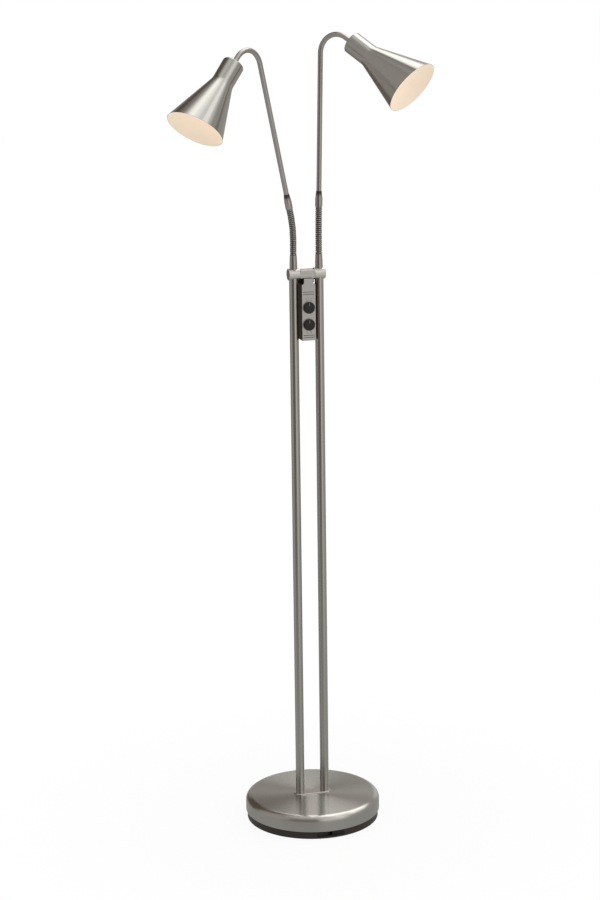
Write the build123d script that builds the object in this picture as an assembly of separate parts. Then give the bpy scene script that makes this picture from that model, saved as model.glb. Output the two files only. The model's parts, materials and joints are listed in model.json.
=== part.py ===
"""Twin-head reading floor lamp: a weighted round base, two upright tubes joined by a clamp bracket
with a dimmer box between them, and two flexible necks that each carry a hooked arm and a shade.

Millimetres and degrees. The origin is the middle of the base's underside, on the floor. +Z is up, the
two uprights stand side by side along X and the front of the lamp faces -Y. The necks are modelled as
they stand in the photograph: the left one bent outwards and forwards, the right one nearly upright.
"""
from build123d import *
import os
from math import cos, radians, sin, sqrt, tan

os.makedirs("parts", exist_ok=True)

# ---- fits and clearances ----
RUNNING_CLEARANCE = 0.05      # radial, a shaft or ball that turns in its seat
PLUG_CLEARANCE = 0.05         # radial, a plug that is pushed into a tube
ASSEMBLY_CLEARANCE = 0.4      # radial, a piece that is dropped over or into another
SCREW_CLEARANCE = 0.05        # radial, a thread in its hole
SCREW_SPARE = 1.0             # hole left past a screw's end

# ---- base ----
BASE_RADIUS = 125.0
BASE_TOP = 44.2               # top of the steel cover above the floor
COVER_LOW = 14.9              # lower edge of the steel cover
COVER_SHEET = 1.2
COVER_EDGE = 11.5             # outer radius of the cover's rounded shoulder
WEIGHT_THICKNESS = 18.0
TRAY_INSET = 2.6              # outside of the dark moulded ring below the cover, within the cover's
TRAY_WALL = 3.0
TRAY_LIFT = 0.8               # gap between the ring and the floor
TRAY_FLOOR = 2.5
PAD_THICKNESS = 2.0
PAD_MARGIN = 6.4              # from the ring's outside to the pad's edge
TRAY_SCREWS = 3
TRAY_SCREW_CIRCLE = 80.0      # radius of the circle of tray screws
TRAY_SCREW_RADIUS = 1.7
TRAY_SCREW_HEAD = 3.5
TRAY_SCREW_GRIP = 8.0         # depth of thread in the weight
TRAY_SCREW_SLOT = 0.8         # width and depth of the slot in its head
TRAY_BOSS_RADIUS = 5.0
INLET_WIDTH = 52.0            # window for the mains inlet, in the front of the ring
INLET_HEIGHT = 9.0
INLET_DEPTH = 8.0
INLET_SET_BACK = 3.4          # from the front of the ring to the inlet's face
INLET_BORE_RADIUS = 3.2
INLET_RIM = 1.2               # wall of the raised ring round the bore
INLET_FIT = 0.2

# ---- uprights and foot ----
UPRIGHT_SPACING = 47.2        # between the axes of the two uprights
UPRIGHT_RADIUS = 8.0
UPRIGHT_WALL = 1.5
FOOT_END_MARGIN = 3.4         # foot plate left round the uprights, at its ends
FOOT_SIDE_MARGIN = 3.5        # and at its sides
FOOT_THICKNESS = 2.0
FOOT_BEVEL = 0.8
STUD_RADIUS = 4.9
STUD_BORE = 3.0
STUD_PLUG_LENGTH = 22.0
STUD_SPARE = 3.0              # thread showing below the nut
WASHER_RADIUS = 10.0
WASHER_THICKNESS = 1.5
NUT_ACROSS = 16.0
NUT_THICKNESS = 6.0
WIRE_RADIUS = 2.5
WIRE_GAP = 0.3

# ---- clamp bracket ----
COLLAR_Z = 1026.4             # height of the collars' common axis
COLLAR_RADIUS = 10.5
COLLAR_LENGTH = 20.6
COLLAR_EDGE = 0.8
UPRIGHT_INTO_COLLAR = 7.6     # how far the upright rises above the collars' axis
GRUB_RADIUS = 1.95
GRUB_SINK = 0.3
GRUB_SOCKET = 2.0             # across the flats of its key
BAR_ABOVE = 8.1               # bar's top above the collars' axis
BAR_BELOW = 6.4
BAR_DEPTH = 19.0
BAR_EDGE = 2.0
SPIGOT_RADIUS = 6.0
SPIGOT_LENGTH = 1.6

# ---- dimmer box ----
PLATE_FRONT = 14.5            # front face of the plate, ahead of the uprights' plane
PLATE_SHEET = 1.5
PLATE_WIDTH = 24.8
PLATE_HEIGHT = 101.0          # below the shoulders
PLATE_NECK_WIDTH = 16.6
PLATE_NECK_HEIGHT = 11.0      # from the shoulders to the top of the lip
PLATE_CORNER = 1.5
LIP_REACH = 11.5              # from the plate's front back under the bar
LIP_BEND = 1.2
LIP_SCREW_BACK = 7.5          # lip screw, behind the plate's front
GROOVE_WIDTH = 1.0
GROOVE_DEPTH = 0.6
GROOVE_LENGTH = 20.4
GROOVE_INSETS = (13.6, 17.6)  # upper pair, below the shoulders
LOW_GROOVE_INSETS = (9.4, 5.6)             # lower pair, above the plate's lower edge
BOX_DEPTH = 28.0
BOX_WALL = 1.8
BOX_EDGE = 2.0
TONGUE_FRONT = 6.0            # front of the tongue that reaches up to the bar, behind the uprights' plane
EAR_GAP = 0.1                 # low ears beside the tongue, to the line of the uprights' inner sides
EAR_HEIGHT = 6.2
PILLAR_RADIUS = 2.5
PILLAR_INSET = 6.5            # from the shoulders, and from the plate's lower edge
BOX_SCREW_RADIUS = 1.25
BOX_SCREW_HEAD = 2.8
BOX_SCREW_HEAD_HEIGHT = 1.8
BOX_SCREW_GRIP = 8.0
BOX_SCREW_SLOT = 0.6          # width of each slot of the cross in its head
KNOB_RISES = {"upper": 59.5, "lower": 28.8}    # knob centres above the plate's lower edge
KNOB_RADIUS = 10.5
KNOB_HEIGHT = 4.4
KNOB_CROWN = 0.9
KNOB_EDGE = 0.5               # bevel between the knob's side and its face
KNOB_GAP = 0.4
KNOB_FLUTES = 28
KNOB_FLUTE_RADIUS = 0.45
KNOB_RIB_LENGTH = 5.6
KNOB_RIB_WIDTH = 1.1
KNOB_RIB_HEIGHT = 0.5
KNOB_RIB_INSET = 1.0          # from the face's edge to the pointer's end
SPINDLE_RADIUS = 3.0
SPINDLE_IN_KNOB = 2.6
DIMMER_WIDTH = 16.0
DIMMER_DEPTH = 8.0
DIMMER_EDGE = 1.0             # bevel of its four corners
DIMMER_BUSH_RADIUS = 4.2
DIMMER_BUSH_LENGTH = 1.5
DIMMER_FLOOR = 1.6            # closed back of the dimmer's bore
BOARD_THICKNESS = 1.6
BOARD_SIDE_GAP = 0.1
BOARD_OVERHANG = 11.0         # past the knob centres, up and down
CHOKE_RADIUS = 6.0
CHOKE_HEIGHT = 9.0
CHOKE_BORE = 2.5
CAPACITOR_SIZE = (14.0, 10.0, 7.0)

# ---- flexible necks ----
NECK_RISE = 34.6              # where the ribbed neck starts, above the collars' axis
FERRULE_GROOVE_RISE = 17.9    # thin turned groove round the lower ferrule, above the collars' axis
NECK_PLUG_LENGTH = 24.0
NECK_FERRULE_RADIUS = 6.85
NECK_FERRULE_TOP_RADIUS = 6.1
FERRULE_GROOVE_WIDTH = 1.1
FERRULE_GROOVE_DEPTH = 0.7
LINK_PITCH = 10.5
RIBS_PER_LINK = 3
TOP_RIBS = 2                  # below the top ferrule
RIB_RADIUS = 5.95
RIB_DEPTH = 0.7
RIB_GAP = 1.225               # groove between two ribs, and between two links
BALL_RADIUS = 4.2
NECK_BORE_RADIUS = 2.0
SOCKET_LIP = 0.6              # how far a socket reaches below its ball's centre
# bend of each hinge as the necks stand, the lowest first
LEFT_LEAN = {"side": (0.5, -3.5, -6.0, -4.4), "fore": (2.65, 2.65, 2.65, 2.65)}
RIGHT_LEAN = {"side": (0.1, 0.1, 0.1, 0.1), "fore": (0.75, 0.75, 0.75, 0.75)}

# ---- arms ----
TOP_FERRULE_RADIUS = 6.5
TOP_FERRULE_LENGTH = 14.5
TOP_FERRULE_TAPER = 14.0
TOP_FERRULE_END_RADIUS = 4.8
ARM_RADIUS = 4.5
ARM_WALL = 1.0
ARM_SOCKET_DEPTH = 8.0        # arm tube seated below the ferrule's taper
ARM_STRAIGHT = 268.8          # from the top of the ribbed neck to the start of the hook
HOOK_RADIUS = 34.9
HOOK_TURN = 119.5
HOOK_TAIL = 14.0              # straight end, up to the shade's cap
ARM_INTO_SHADE = 9.0
LEFT_HOOK_AZIMUTH = 214.6     # plan direction of the hook, from +X
RIGHT_HOOK_AZIMUTH = -50.4

# ---- shades and bulbs ----
SHADE_NECK_RADIUS = 19.2
SHADE_NECK_LENGTH = 42.7
SHADE_RIM_RADIUS = 50.5
SHADE_CONE_LENGTH = 98.9
SHADE_SHEET = 0.8
SHADE_CAP_EDGE = 2.6
SHADE_BEND = 22.0             # radius between neck and cone
SHADE_RIM_SLANT = 5.5         # the rim's plane leans towards the arm
RIM_OVERCUT = 2.0             # how many times the slant's rise the cone is made too long, then cut
SHADE_COLLAR_RADIUS = 6.4
SHADE_COLLAR_HEIGHT = 4.0
LOCK_NUT_ACROSS = 14.0
LOCK_NUT_THICKNESS = 3.0
HOLDER_RADIUS = 13.5
HOLDER_LENGTH = 39.0
HOLDER_FLOOR = 6.0
HOLDER_MOUTH_RADIUS = 7.6
HOLDER_EDGE = 2.5
BULB_CAP_RADIUS = 6.8
BULB_CAP_LENGTH = 26.0
BULB_CAP_EDGE = 2.0
BULB_SEAT = 0.8               # flange that the glass is cemented to
BULB_TIP_RADIUS = 2.5
BULB_TIP_LENGTH = 2.0
BULB_RADIUS = 22.5
BULB_LENGTH = 54.0            # glass alone
BULB_NECK_RADIUS = 9.0
BULB_GLASS = 0.9
BULB_SHOULDER = 12.0          # fillet between the glass's neck and its globe

# ---- worked out from the sizes above ----
UPRIGHT_X = UPRIGHT_SPACING / 2
UPRIGHT_BORE = UPRIGHT_RADIUS - UPRIGHT_WALL
UPRIGHT_TOP = COLLAR_Z + UPRIGHT_INTO_COLLAR
FOOT_LENGTH = UPRIGHT_SPACING + 2 * (UPRIGHT_RADIUS + FOOT_END_MARGIN)
FOOT_WIDTH = 2 * (UPRIGHT_RADIUS + FOOT_SIDE_MARGIN)
COVER_INSIDE = BASE_RADIUS - COVER_SHEET
TRAY_RADIUS = BASE_RADIUS - TRAY_INSET
WEIGHT_TOP = BASE_TOP - COVER_SHEET
WEIGHT_LOW = WEIGHT_TOP - WEIGHT_THICKNESS
TRAY_FLOOR_TOP = PAD_THICKNESS + TRAY_FLOOR
STUD_HOLE = STUD_RADIUS + ASSEMBLY_CLEARANCE
STUD_LOW = WEIGHT_LOW - WASHER_THICKNESS - NUT_THICKNESS - STUD_SPARE
INLET_FACE = -(TRAY_RADIUS - INLET_SET_BACK)
INLET_Z = TRAY_FLOOR_TOP + INLET_HEIGHT / 2
COLLAR_INSIDE = UPRIGHT_X - COLLAR_LENGTH / 2
EAR_REACH = UPRIGHT_X - UPRIGHT_RADIUS - EAR_GAP
BAR_TOP = COLLAR_Z + BAR_ABOVE
BAR_LOW = COLLAR_Z - BAR_BELOW
SHOULDER_Z = BAR_LOW - PLATE_NECK_HEIGHT
PLATE_BACK = -(PLATE_FRONT - PLATE_SHEET)
BOX_BACK = PLATE_BACK + BOX_DEPTH
BOX_LOW = SHOULDER_Z - PLATE_HEIGHT
# drops below the shoulders
GROOVE_DROPS = (*GROOVE_INSETS, *(PLATE_HEIGHT - inset for inset in LOW_GROOVE_INSETS))
PILLAR_DROPS = (PILLAR_INSET, PLATE_HEIGHT - PILLAR_INSET)
KNOB_DROPS = {name: PLATE_HEIGHT - rise for name, rise in KNOB_RISES.items()}
BOX_INSIDE = PLATE_WIDTH / 2 - BOX_WALL
DIMMER_FRONT = PLATE_BACK + DIMMER_BUSH_LENGTH
DIMMER_BACK = DIMMER_FRONT + DIMMER_DEPTH
BOARD_BACK = DIMMER_BACK + BOARD_THICKNESS
NECK_LOW = COLLAR_Z + NECK_RISE
GROOVE_Z = COLLAR_Z + FERRULE_GROOVE_RISE
HINGES = 2 * len(LEFT_LEAN["side"])    # in turn to the side, and fore and aft
RIB_PITCH = LINK_PITCH / RIBS_PER_LINK
RIB_WIDTH = RIB_PITCH - RIB_GAP
RIB_ROOT = RIB_RADIUS - RIB_DEPTH
LINK_TOP = LINK_PITCH - SOCKET_LIP - RIB_GAP    # a link's shoulder above its own ball
NECK_END = LINK_PITCH / 2                # top of the ribbed neck above the last ball
HOOK_START = NECK_END + ARM_STRAIGHT
SHADE_LENGTH = SHADE_NECK_LENGTH + SHADE_CONE_LENGTH
ARM_END = ARM_INTO_SHADE + HOOK_TAIL
HOLDER_LOW = SHADE_SHEET + LOCK_NUT_THICKNESS
BULB_LOW = HOLDER_LOW + HOLDER_LENGTH    # where the glass meets its metal cap

UP = (Align.CENTER, Align.CENTER, Align.MIN)
THROUGH = 60.0                # longer than any piece is thick, for cuts right through
HUGE = 600.0                  # larger than any piece, for a cut by a plane
SAME_PLACE = 0.001            # two heights nearer than this are one


# ---- helpers ----
def rod(radius, low, high):
    """A cylinder about the Z axis between two heights."""
    return Pos(0, 0, low) * Cylinder(radius, high - low, align=UP)


def pipe(outer, inner, low, high):
    """A tube about the Z axis between two heights."""
    return rod(outer, low, high) - rod(inner, low, high)


def block(x, y, z):
    """A box given by its three (low, high) pairs."""
    size = [high - low for low, high in (x, y, z)]
    return Pos(x[0], y[0], z[0]) * Box(*size, align=(Align.MIN, Align.MIN, Align.MIN))


def turned(points):
    """A solid turned about the Z axis from (radius, height) points."""
    return revolve(Plane.XZ * make_face(Polyline(*points, close=True)), axis=Axis.Z)


def rounded_disc(radius, low, high, edge):
    """A disc with a rounded upper edge."""
    disc = rod(radius, low, high)
    return fillet(disc.edges().sort_by(Axis.Z)[-1], edge)


def hexagon(across, low, high):
    """A six-sided bar about the Z axis, given across its flats."""
    outline = RegularPolygon(radius=across / 2 / cos(radians(30)), side_count=6)
    return Pos(0, 0, low) * extrude(outline, high - low)


def both_sides(piece):
    """A piece made at x = 0, repeated on the two uprights' axes."""
    return Pos(-UPRIGHT_X, 0, 0) * piece + Pos(UPRIGHT_X, 0, 0) * piece


def facing_front(y, z):
    """A place on the lamp's middle line whose own +Z points out of the front."""
    return Plane(origin=(0, y, z), x_dir=(1, 0, 0), z_dir=(0, -1, 0))


# ---- base ----
def base_cover():
    outside = rounded_disc(BASE_RADIUS, COVER_LOW, BASE_TOP, COVER_EDGE)
    inside = rounded_disc(COVER_INSIDE, COVER_LOW, WEIGHT_TOP, COVER_EDGE - COVER_SHEET)
    return outside - inside - both_sides(rod(STUD_HOLE, WEIGHT_TOP, BASE_TOP))


def tray_screw_places():
    """Tray screws, one of them to the rear so that none meets the inlet."""
    return PolarLocations(TRAY_SCREW_CIRCLE, TRAY_SCREWS, start_angle=90)


def base_weight():
    radius = COVER_INSIDE - ASSEMBLY_CLEARANCE
    weight = rounded_disc(radius, WEIGHT_LOW, WEIGHT_TOP, COVER_EDGE - COVER_SHEET)
    weight -= both_sides(rod(STUD_HOLE, WEIGHT_LOW, WEIGHT_TOP))
    hole = rod(TRAY_SCREW_RADIUS + SCREW_CLEARANCE, WEIGHT_LOW, WEIGHT_LOW + TRAY_SCREW_GRIP + SCREW_SPARE)
    return weight - [place * hole for place in tray_screw_places()]


def base_tray():
    wall = pipe(TRAY_RADIUS, TRAY_RADIUS - TRAY_WALL, TRAY_LIFT, WEIGHT_LOW)
    tray = wall + rod(TRAY_RADIUS - TRAY_WALL / 2, PAD_THICKNESS, TRAY_FLOOR_TOP)
    tray += [place * rod(TRAY_BOSS_RADIUS, PAD_THICKNESS, WEIGHT_LOW) for place in tray_screw_places()]
    shank = rod(TRAY_SCREW_RADIUS + ASSEMBLY_CLEARANCE, PAD_THICKNESS, WEIGHT_LOW)
    sunk = rod(TRAY_SCREW_HEAD + ASSEMBLY_CLEARANCE, PAD_THICKNESS, PAD_THICKNESS + TRAY_FLOOR)
    tray -= [place * (shank + sunk) for place in tray_screw_places()]
    half = INLET_WIDTH / 2
    window = block((-half, half), (-TRAY_RADIUS, INLET_FACE + INLET_DEPTH),
                   (TRAY_FLOOR_TOP, TRAY_FLOOR_TOP + INLET_HEIGHT))
    return tray - window


def base_pad():
    return rod(TRAY_RADIUS - PAD_MARGIN, 0, PAD_THICKNESS)


def tray_screws():
    head_top = PAD_THICKNESS + TRAY_FLOOR
    screw = rod(TRAY_SCREW_RADIUS, PAD_THICKNESS, WEIGHT_LOW + TRAY_SCREW_GRIP)
    screw += rod(TRAY_SCREW_HEAD, PAD_THICKNESS, head_top)
    half = TRAY_SCREW_SLOT / 2
    slot = block((-TRAY_SCREW_HEAD, TRAY_SCREW_HEAD), (-half, half),
                 (PAD_THICKNESS, PAD_THICKNESS + TRAY_SCREW_SLOT))
    screw -= slot
    return Part() + [place * screw for place in tray_screw_places()]


def cable_inlet():
    half = INLET_WIDTH / 2 - INLET_FIT
    body = block((-half, half), (INLET_FACE, INLET_FACE + INLET_DEPTH),
                 (TRAY_FLOOR_TOP, TRAY_FLOOR_TOP + INLET_HEIGHT - INLET_FIT))
    grommet = facing_front(INLET_FACE, INLET_Z) * rod(INLET_BORE_RADIUS + INLET_RIM, 0, INLET_SET_BACK / 2)
    bore = facing_front(INLET_FACE + INLET_DEPTH, INLET_Z) * rod(INLET_BORE_RADIUS, -THROUGH, THROUGH)
    return body + grommet - bore


# ---- uprights ----
def foot_plate():
    plate = extrude(SlotOverall(FOOT_LENGTH, FOOT_WIDTH), FOOT_THICKNESS)
    plate = chamfer(plate.faces().sort_by(Axis.Z)[-1].edges(), FOOT_BEVEL)
    holes = both_sides(rod(UPRIGHT_RADIUS + PLUG_CLEARANCE, 0, FOOT_THICKNESS))
    return Pos(0, 0, BASE_TOP) * (plate - holes)


def upright(x):
    return Pos(x, 0, 0) * pipe(UPRIGHT_RADIUS, UPRIGHT_BORE, BASE_TOP, UPRIGHT_TOP)


def upright_studs():
    stud = rod(STUD_RADIUS, STUD_LOW, BASE_TOP)
    stud += rod(UPRIGHT_BORE - PLUG_CLEARANCE, BASE_TOP, BASE_TOP + STUD_PLUG_LENGTH)
    return both_sides(stud - rod(STUD_BORE, STUD_LOW, BASE_TOP + STUD_PLUG_LENGTH))


def upright_washers():
    low = WEIGHT_LOW - WASHER_THICKNESS
    return both_sides(pipe(WASHER_RADIUS, STUD_RADIUS + ASSEMBLY_CLEARANCE / 2, low, WEIGHT_LOW))


def upright_nuts():
    high = WEIGHT_LOW - WASHER_THICKNESS
    nut = hexagon(NUT_ACROSS, high - NUT_THICKNESS, high)
    return both_sides(nut - rod(STUD_RADIUS + SCREW_CLEARANCE, high - NUT_THICKNESS, high))


def upright_wires():
    """The mains leads inside the uprights, each standing on its stud and lying along the bore."""
    low = BASE_TOP + STUD_PLUG_LENGTH
    high = UPRIGHT_TOP - NECK_PLUG_LENGTH
    aside = UPRIGHT_BORE - WIRE_RADIUS - WIRE_GAP
    return both_sides(Pos(aside, 0, 0) * rod(WIRE_RADIUS, low, high - WIRE_GAP))


# ---- clamp bracket ----
def collar(x):
    """A round bar lying along X that the upright passes into from below."""
    body = Rot(0, 90, 0) * Cylinder(COLLAR_RADIUS, COLLAR_LENGTH)
    ends = body.edges().filter_by(GeomType.CIRCLE)
    body = Pos(x, 0, COLLAR_Z) * fillet(ends, COLLAR_EDGE)
    body -= Pos(x, 0, 0) * rod(UPRIGHT_RADIUS + PLUG_CLEARANCE, COLLAR_Z - THROUGH, UPRIGHT_TOP)
    body -= Pos(x, 0, 0) * rod(NECK_FERRULE_RADIUS + PLUG_CLEARANCE, UPRIGHT_TOP, UPRIGHT_TOP + THROUGH)
    inward = -1 if x > 0 else 1
    seat = Rot(0, 90, 0) * Cylinder(SPIGOT_RADIUS + PLUG_CLEARANCE, 2 * (SPIGOT_LENGTH + PLUG_CLEARANCE))
    body -= Pos(x + inward * COLLAR_LENGTH / 2, 0, COLLAR_Z) * seat
    grub_hole = Rot(-90, 0, 0) * rod(GRUB_RADIUS + SCREW_CLEARANCE, 0, THROUGH)
    return body - Pos(x, 0, COLLAR_Z) * grub_hole


def collar_screws():
    """Grub screws in the rear of the collars that pinch the uprights."""
    low = UPRIGHT_RADIUS
    high = COLLAR_RADIUS - GRUB_SINK
    grub = rod(GRUB_RADIUS, low, high) - hexagon(GRUB_SOCKET, (low + high) / 2, high)
    return Pos(0, 0, COLLAR_Z) * both_sides(Rot(-90, 0, 0) * grub)


def bracket_bar():
    half = BAR_DEPTH / 2
    bar = block((-COLLAR_INSIDE, COLLAR_INSIDE), (-half, half), (BAR_LOW, BAR_TOP))
    bar = fillet(bar.edges().filter_by(Axis.X).group_by(Axis.Z)[-1], BAR_EDGE)
    bar += Pos(0, 0, COLLAR_Z) * Rot(0, 90, 0) * Cylinder(SPIGOT_RADIUS, 2 * (COLLAR_INSIDE + SPIGOT_LENGTH))
    return bar - lip_screw_place() * rod(BOX_SCREW_RADIUS + SCREW_CLEARANCE, 0, BOX_SCREW_GRIP + SCREW_SPARE)


def lip_screw_place():
    return Pos(0, LIP_SCREW_BACK - PLATE_FRONT, BAR_LOW)


def pan_screw(grip, under_head):
    """A pan-head screw along +Z whose thread ends at z = grip and whose head sits below -under_head."""
    screw = rod(BOX_SCREW_RADIUS, -under_head - BOX_SCREW_HEAD_HEIGHT / 2, grip)
    head = rod(BOX_SCREW_HEAD, -under_head - BOX_SCREW_HEAD_HEIGHT, -under_head)
    head = fillet(head.edges().sort_by(Axis.Z)[0], BOX_SCREW_HEAD_HEIGHT / 2)
    depth = BOX_SCREW_HEAD_HEIGHT / 2
    slots = [Rot(0, 0, turn) * Box(BOX_SCREW_HEAD, BOX_SCREW_SLOT, depth, align=UP) for turn in (0, 90)]
    low = Pos(0, 0, -under_head - BOX_SCREW_HEAD_HEIGHT)
    return screw + head - [low * slot for slot in slots]


def lip_screw():
    return lip_screw_place() * pan_screw(BOX_SCREW_GRIP, PLATE_SHEET)


# ---- dimmer box ----
def front_plate():
    """The brushed plate: a broad face, a waisted neck, and a lip folded back under the bar."""
    half = PLATE_WIDTH / 2
    notch = (PLATE_WIDTH - PLATE_NECK_WIDTH) / 2
    face = block((-half, half), (-PLATE_FRONT, PLATE_BACK), (BOX_LOW, SHOULDER_Z + notch))
    corners = face.edges().filter_by(Axis.Y).group_by(Axis.Z)[0]
    face = fillet(corners, PLATE_CORNER)
    for side in (-1, 1):
        corner = facing_front(PLATE_BACK, SHOULDER_Z + notch) * Pos(side * half, 0, 0)
        face -= corner * rod(notch, -THROUGH, THROUGH)
    neck = block((-PLATE_NECK_WIDTH / 2, PLATE_NECK_WIDTH / 2), (-PLATE_FRONT, PLATE_BACK),
                 (SHOULDER_Z, BAR_LOW))
    lip = block((-PLATE_NECK_WIDTH / 2, PLATE_NECK_WIDTH / 2), (-PLATE_FRONT, LIP_REACH - PLATE_FRONT),
                (BAR_LOW - PLATE_SHEET, BAR_LOW))
    neck += lip
    crease = neck.edges().filter_by(Axis.X).group_by(Axis.Z)[-1].sort_by(Axis.Y)[0]
    plate = face + fillet(crease, LIP_BEND)
    for drop in GROOVE_DROPS:
        line = block((-GROOVE_LENGTH / 2, GROOVE_LENGTH / 2), (-PLATE_FRONT, GROOVE_DEPTH - PLATE_FRONT),
                     (SHOULDER_Z - drop - GROOVE_WIDTH / 2, SHOULDER_Z - drop + GROOVE_WIDTH / 2))
        plate -= line
    for drop in KNOB_DROPS.values():
        hole = rod(SPINDLE_RADIUS + ASSEMBLY_CLEARANCE, -THROUGH, THROUGH)
        plate -= facing_front(PLATE_BACK, SHOULDER_Z - drop) * hole
    reach = BOX_BACK - BOX_WALL - PLATE_BACK
    for drop in PILLAR_DROPS:
        place = facing_front(BOX_BACK - BOX_WALL, SHOULDER_Z - drop)
        plate += place * rod(PILLAR_RADIUS, 0, reach)
        plate -= place * rod(BOX_SCREW_RADIUS + SCREW_CLEARANCE, 0, BOX_SCREW_GRIP + SCREW_SPARE)
    return plate - lip_screw_place() * rod(BOX_SCREW_RADIUS + ASSEMBLY_CLEARANCE, -PLATE_SHEET, 0)


def housing_shell():
    """The dark moulded box behind the plate, open to the front, with a tongue up to the bar and an ear on either side."""
    half = PLATE_WIDTH / 2
    shell = block((-half, half), (PLATE_BACK, BOX_BACK), (BOX_LOW, SHOULDER_Z))
    shell += block((-half, half), (TONGUE_FRONT, BOX_BACK), (SHOULDER_Z, BAR_LOW))
    shell += block((-EAR_REACH, EAR_REACH), (TONGUE_FRONT, BOX_BACK), (SHOULDER_Z, SHOULDER_Z + EAR_HEIGHT))
    shell = fillet(shell.edges().filter_by(Axis.Z).group_by(Axis.Y)[-1], BOX_EDGE)
    shell -= block((-BOX_INSIDE, BOX_INSIDE), (PLATE_BACK, BOX_BACK - BOX_WALL),
                   (BOX_LOW + BOX_WALL, SHOULDER_Z - BOX_WALL))
    for drop in PILLAR_DROPS:
        place = facing_front(BOX_BACK, SHOULDER_Z - drop)
        shell -= place * rod(BOX_SCREW_RADIUS + ASSEMBLY_CLEARANCE, 0, BOX_WALL)
    return shell


def housing_screws():
    screws = Part()
    for drop in PILLAR_DROPS:
        place = facing_front(BOX_BACK - BOX_WALL, SHOULDER_Z - drop)
        screws += place * pan_screw(BOX_SCREW_GRIP, BOX_WALL)
    return screws


def circuit_board():
    half = BOX_INSIDE - BOARD_SIDE_GAP
    high = SHOULDER_Z - KNOB_DROPS["upper"] + BOARD_OVERHANG
    low = SHOULDER_Z - KNOB_DROPS["lower"] - BOARD_OVERHANG
    board = block((-half, half), (DIMMER_BACK, BOARD_BACK), (low, high))
    back = Plane(origin=(0, BOARD_BACK, 0), x_dir=(1, 0, 0), z_dir=(0, 1, 0))
    for centre in (low + 2 * CHOKE_RADIUS, high - 2 * CHOKE_RADIUS):
        board += back * Pos(0, -centre, 0) * pipe(CHOKE_RADIUS, CHOKE_BORE, 0, CHOKE_HEIGHT)
    middle = Pos(0, -(low + high) / 2, 0)
    return board + back * middle * Box(*CAPACITOR_SIZE, align=UP)


def dimmer(drop):
    """One rotary dimmer: a square body with a round bush that seats on the plate's back."""
    place = facing_front(DIMMER_BACK, SHOULDER_Z - drop)
    body = Box(DIMMER_WIDTH, DIMMER_WIDTH, DIMMER_DEPTH, align=UP)
    body = chamfer(body.edges().filter_by(Axis.Z), DIMMER_EDGE)
    body += rod(DIMMER_BUSH_RADIUS, 0, DIMMER_DEPTH + DIMMER_BUSH_LENGTH)
    bore = rod(SPINDLE_RADIUS + RUNNING_CLEARANCE, DIMMER_FLOOR, DIMMER_DEPTH + DIMMER_BUSH_LENGTH)
    return place * (body - bore)


def spindle(drop):
    """The dimmer's shaft, from its bore out through the plate into the knob."""
    place = facing_front(DIMMER_BACK, SHOULDER_Z - drop)
    reach = DIMMER_BACK + PLATE_FRONT + KNOB_GAP + SPINDLE_IN_KNOB
    return place * rod(SPINDLE_RADIUS, DIMMER_FLOOR + WIRE_GAP, reach)


def knob(drop):
    """A low fluted dial with a crowned face and a raised pointer."""
    flat = KNOB_HEIGHT - KNOB_CROWN
    face_radius = KNOB_RADIUS - KNOB_EDGE
    side = Polyline((0, 0), (KNOB_RADIUS, 0), (KNOB_RADIUS, flat - KNOB_EDGE), (face_radius, flat))
    crown_radius = (face_radius ** 2 + KNOB_CROWN ** 2) / (2 * KNOB_CROWN)
    half_way = face_radius / 2
    half_rise = sqrt(crown_radius ** 2 - half_way ** 2) - (crown_radius - KNOB_CROWN)
    crown = ThreePointArc((face_radius, flat), (half_way, flat + half_rise), (0, KNOB_HEIGHT))
    face = make_face(side + crown + Line((0, KNOB_HEIGHT), (0, 0)))
    body = revolve(Plane.XZ * face, axis=Axis.Z)
    flute = rod(KNOB_FLUTE_RADIUS, 0, flat)
    body -= [place * flute for place in PolarLocations(KNOB_RADIUS, KNOB_FLUTES)]
    rib = SlotOverall(KNOB_RIB_LENGTH, KNOB_RIB_WIDTH, rotation=90)
    rib_centre = face_radius - KNOB_RIB_INSET - KNOB_RIB_LENGTH / 2
    body += Pos(0, rib_centre, flat) * extrude(rib, KNOB_CROWN + KNOB_RIB_HEIGHT)
    body -= rod(SPINDLE_RADIUS, 0, SPINDLE_IN_KNOB)
    return facing_front(-PLATE_FRONT - KNOB_GAP, SHOULDER_Z - drop) * body


# ---- flexible necks ----
def ribbed(low, high, first, count):
    """A core between two heights, with rounded ribs one pitch apart from the first one's height."""
    half = RIB_WIDTH / 2
    side = Line((0, low), (RIB_ROOT, low))
    reached = low
    for index in range(count):
        middle = first + index * RIB_PITCH
        if middle - half > reached + SAME_PLACE:
            side += Line((RIB_ROOT, reached), (RIB_ROOT, middle - half))
            reached = middle - half
        side += ThreePointArc((RIB_ROOT, reached), (RIB_RADIUS, middle), (RIB_ROOT, middle + half))
        reached = middle + half
    if high > reached + SAME_PLACE:
        side += Line((RIB_ROOT, reached), (RIB_ROOT, high))
        reached = high
    side += Line((RIB_ROOT, reached), (0, reached))
    side += Line((0, reached), (0, low))
    return revolve(Plane.XZ * make_face(side), axis=Axis.Z)


def socket():
    """The hollow that a ball at the origin turns in."""
    return Sphere(BALL_RADIUS + RUNNING_CLEARANCE)


FIRST_RIB = RIB_WIDTH / 2 - SOCKET_LIP    # a link's lowest rib, measured from its ball's centre


def neck_link():
    """One link, with its own socket's centre at the origin and its ball one pitch above."""
    link = ribbed(-SOCKET_LIP, LINK_TOP, FIRST_RIB, RIBS_PER_LINK)
    link += Pos(0, 0, LINK_PITCH) * Sphere(BALL_RADIUS)
    return link - socket() - rod(NECK_BORE_RADIUS, -LINK_PITCH, 2 * LINK_PITCH)


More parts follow.
